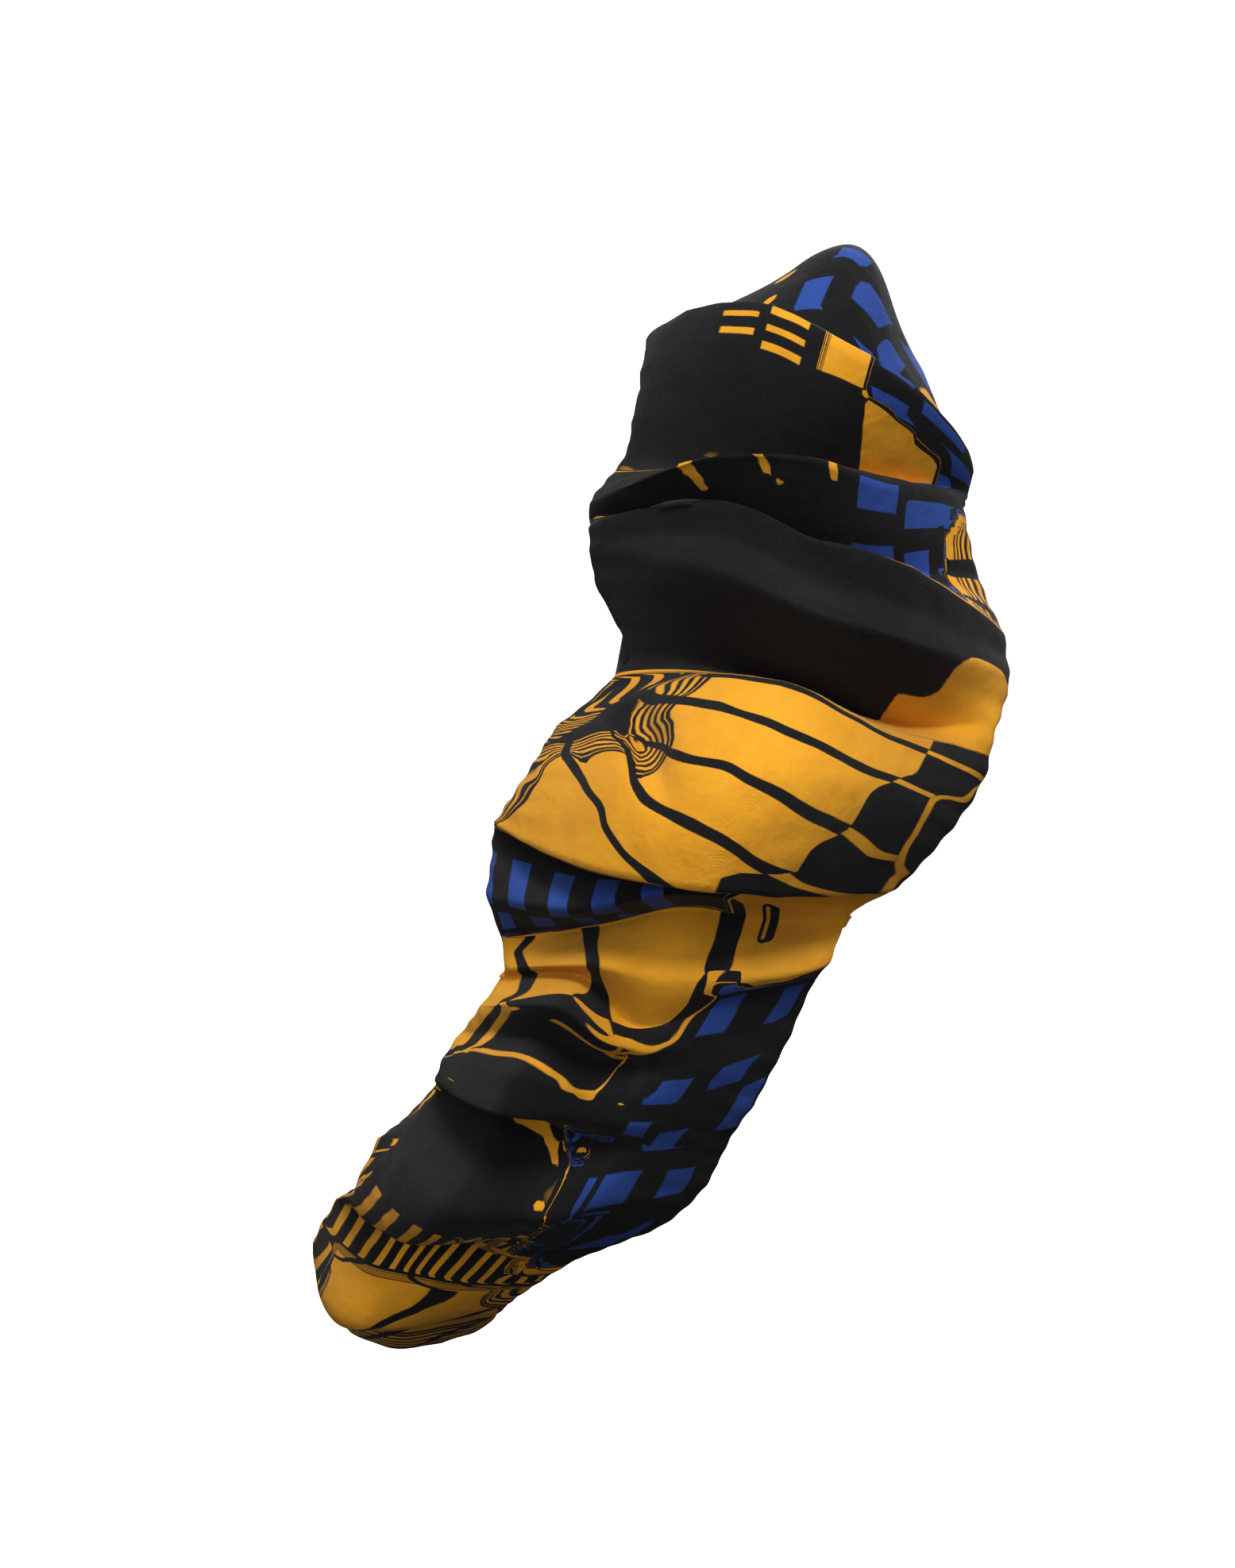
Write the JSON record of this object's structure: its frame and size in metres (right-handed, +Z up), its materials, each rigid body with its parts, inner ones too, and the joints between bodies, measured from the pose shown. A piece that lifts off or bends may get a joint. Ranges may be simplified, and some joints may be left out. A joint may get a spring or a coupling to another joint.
{
  "type": "puff headband",
  "caption": "Wide cloth headband gathered into deep ruffled puffs over a plain inner band, kept in the form it has when worn.",
  "frame": {"origin": "centre of the head opening, halfway along the oval that the band follows", "axes": "+Z up as worn, the wearer's face towards -Y, the wearer's right side towards -X"},
  "size_m": [0.2572, 0.1871, 0.3048],
  "materials": {
    "print_cotton": "matt printed cotton, golden yellow bars and blue blocks on a black ground",
    "band_cotton": "matt plain black cotton"
  },
  "bodies": {
    "root": {"puff_sleeve": "print_cotton", "inner_band": "band_cotton"}
  },
  "joints": []
}
